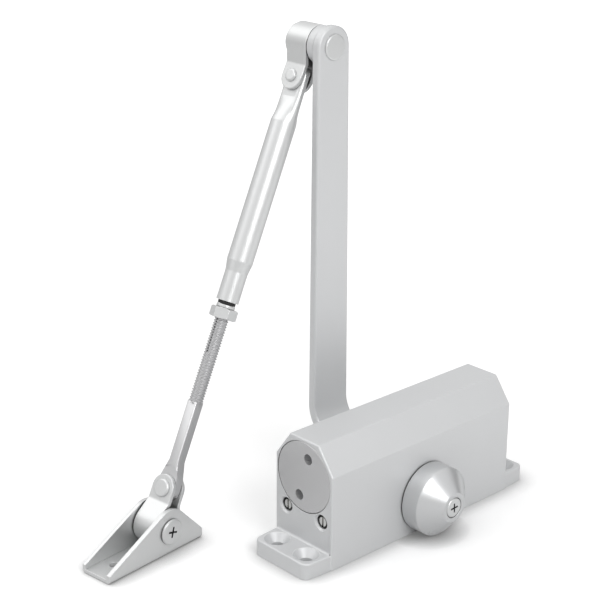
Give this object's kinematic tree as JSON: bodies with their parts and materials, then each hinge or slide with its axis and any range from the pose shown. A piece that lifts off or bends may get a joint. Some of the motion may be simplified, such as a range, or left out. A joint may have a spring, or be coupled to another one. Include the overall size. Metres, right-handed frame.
{
  "type": "surface mounted door closer with jointed arm",
  "caption": "Rack-and-pinion surface door closer with a main arm, an adjustable forearm with sheet-metal knuckles, and a stamped foot bracket.",
  "frame": {"origin": "on the mounting plane, under the middle of the body, at the centre of its four mounting holes", "axes": "+Z away from the mounting plane and up the main arm, +X along the body towards its spring end, +Y along the spindle towards the arm"},
  "size_m": [0.2137, 0.1066, 0.2251],
  "materials": {
    "casting": "silver lacquer over die-cast aluminium, fine satin",
    "plug": "turned aluminium with faint rings",
    "cap": "silver lacquer, satin",
    "arm": "silver lacquer on steel, satin",
    "plated_steel": "bright zinc plating",
    "collar": "silver lacquer, satin",
    "strap": "bright zinc plated sheet",
    "tube": "plated drawn tube, half bright",
    "rod": "zinc plated rolled thread",
    "bracket": "zinc plated stamped sheet",
    "gear_steel": "hardened and ground",
    "bearing_bronze": "oiled bronze",
    "piston_iron": "machined iron",
    "spring_steel": "oiled spring wire",
    "valve_brass": "turned, plated",
    "seal_rubber": "nitrile rubber"
  },
  "bodies": {
    "body": {"closer_body": "casting", "valve_end_plug": "plug", "valve_end_plug_seal": "seal_rubber", "spring_end_plug": "plug", "spring_end_plug_seal": "seal_rubber", "front_bearing": "bearing_bronze", "front_shaft_seal": "seal_rubber", "rear_bearing": "bearing_bronze", "rear_shaft_seal": "seal_rubber", "rear_gland_nut": "plated_steel", "closing_spring": "spring_steel"},
    "closing_valve": {"closing_speed_valve": "valve_brass", "closing_speed_valve_seal": "seal_rubber"},
    "latching_valve": {"latching_speed_valve": "valve_brass", "latching_speed_valve_seal": "seal_rubber"},
    "spindle_and_arm": {"pinion_shaft": "gear_steel", "pinion_cap": "cap", "cap_screw": "plated_steel", "main_arm": "arm", "arm_screw_washer": "plated_steel", "arm_screw": "plated_steel", "elbow_pin": "plated_steel", "elbow_collar": "collar", "elbow_washer": "plated_steel"},
    "piston_group": {"piston": "piston_iron", "check_valve_retainer": "gear_steel"},
    "check_ball": {"check_valve_ball": "gear_steel"},
    "upper_knuckle": {"upper_strap": "strap", "upper_bush": "plated_steel", "upper_rivet": "plated_steel"},
    "forearm": {"forearm_tube": "tube"},
    "nut": {"lock_nut": "plated_steel"},
    "rod": {"adjusting_rod": "rod"},
    "lower_knuckle": {"lower_strap": "strap", "lower_bush": "plated_steel", "lower_rivet": "plated_steel"},
    "shoe": {"foot_bracket": "bracket", "bracket_screw": "plated_steel", "bracket_nut": "plated_steel"}
  },
  "joints": [
    {"name": "spindle_turn", "type": "hinge", "parent": "body", "child": "spindle_and_arm", "pos_m": [0.0012, 0, 0.0171], "axis": [0, 1, 0], "range_deg": [0, 170], "stiffness_Nm_per_rad": 2, "springref_deg": -57.3},
    {"name": "piston_slide", "type": "slide", "parent": "body", "child": "piston_group", "axis": [1, 0, 0], "range_m": [0, 0.0268], "deforming": ["closing_spring"]},
    {"name": "check_ball_lift", "type": "slide", "parent": "piston_group", "child": "check_ball", "axis": [-1, 0, 0], "range_m": [0, 0.0006]},
    {"name": "closing_valve_turn", "type": "hinge", "parent": "body", "child": "closing_valve", "pos_m": [-0.05, -0.0113, 0.0216], "axis": [-1, 0, 0], "range_deg": [0, 540]},
    {"name": "latching_valve_turn", "type": "hinge", "parent": "body", "child": "latching_valve", "pos_m": [-0.05, 0.0113, 0.0216], "axis": [-1, 0, 0], "range_deg": [0, 540]},
    {"name": "elbow_turn", "type": "hinge", "parent": "spindle_and_arm", "child": "upper_knuckle", "pos_m": [0, 0.061, 0.2155], "axis": [0, 1, 0], "range_deg": [-12, 120]},
    {"name": "forearm_swing", "type": "hinge", "parent": "upper_knuckle", "child": "forearm", "pos_m": [-0.0077, 0.061, 0.20012], "axis": [0.8942, 0, -0.4478], "range_deg": [-3, 25]},
    {"name": "lock_nut_turn", "type": "hinge", "parent": "forearm", "child": "nut", "pos_m": [-0.0077, 0.061, 0.20012], "axis": [-0.4472, -0.0506, -0.893], "continuous": true},
    {"name": "rod_adjustment", "type": "slide", "parent": "forearm", "child": "rod", "axis": [-0.4472, -0.0506, -0.893], "range_m": [-0.008, 0.02]},
    {"name": "lower_knuckle_swing", "type": "hinge", "parent": "rod", "child": "lower_knuckle", "pos_m": [-0.09456, 0.05117, 0.02666], "axis": [-0.8876, -0.098, 0.45], "range_deg": [-10, 10]},
    {"name": "shoe_turn", "type": "hinge", "parent": "lower_knuckle", "child": "shoe", "pos_m": [-0.10226, 0.05032, 0.0113], "axis": [-0.1097, 0.994, 0], "range_deg": [-50, 50]}
  ],
  "couplings": [
    {"joint": "piston_slide", "follows": "spindle_turn", "m_per_rad": 0.009}
  ]
}
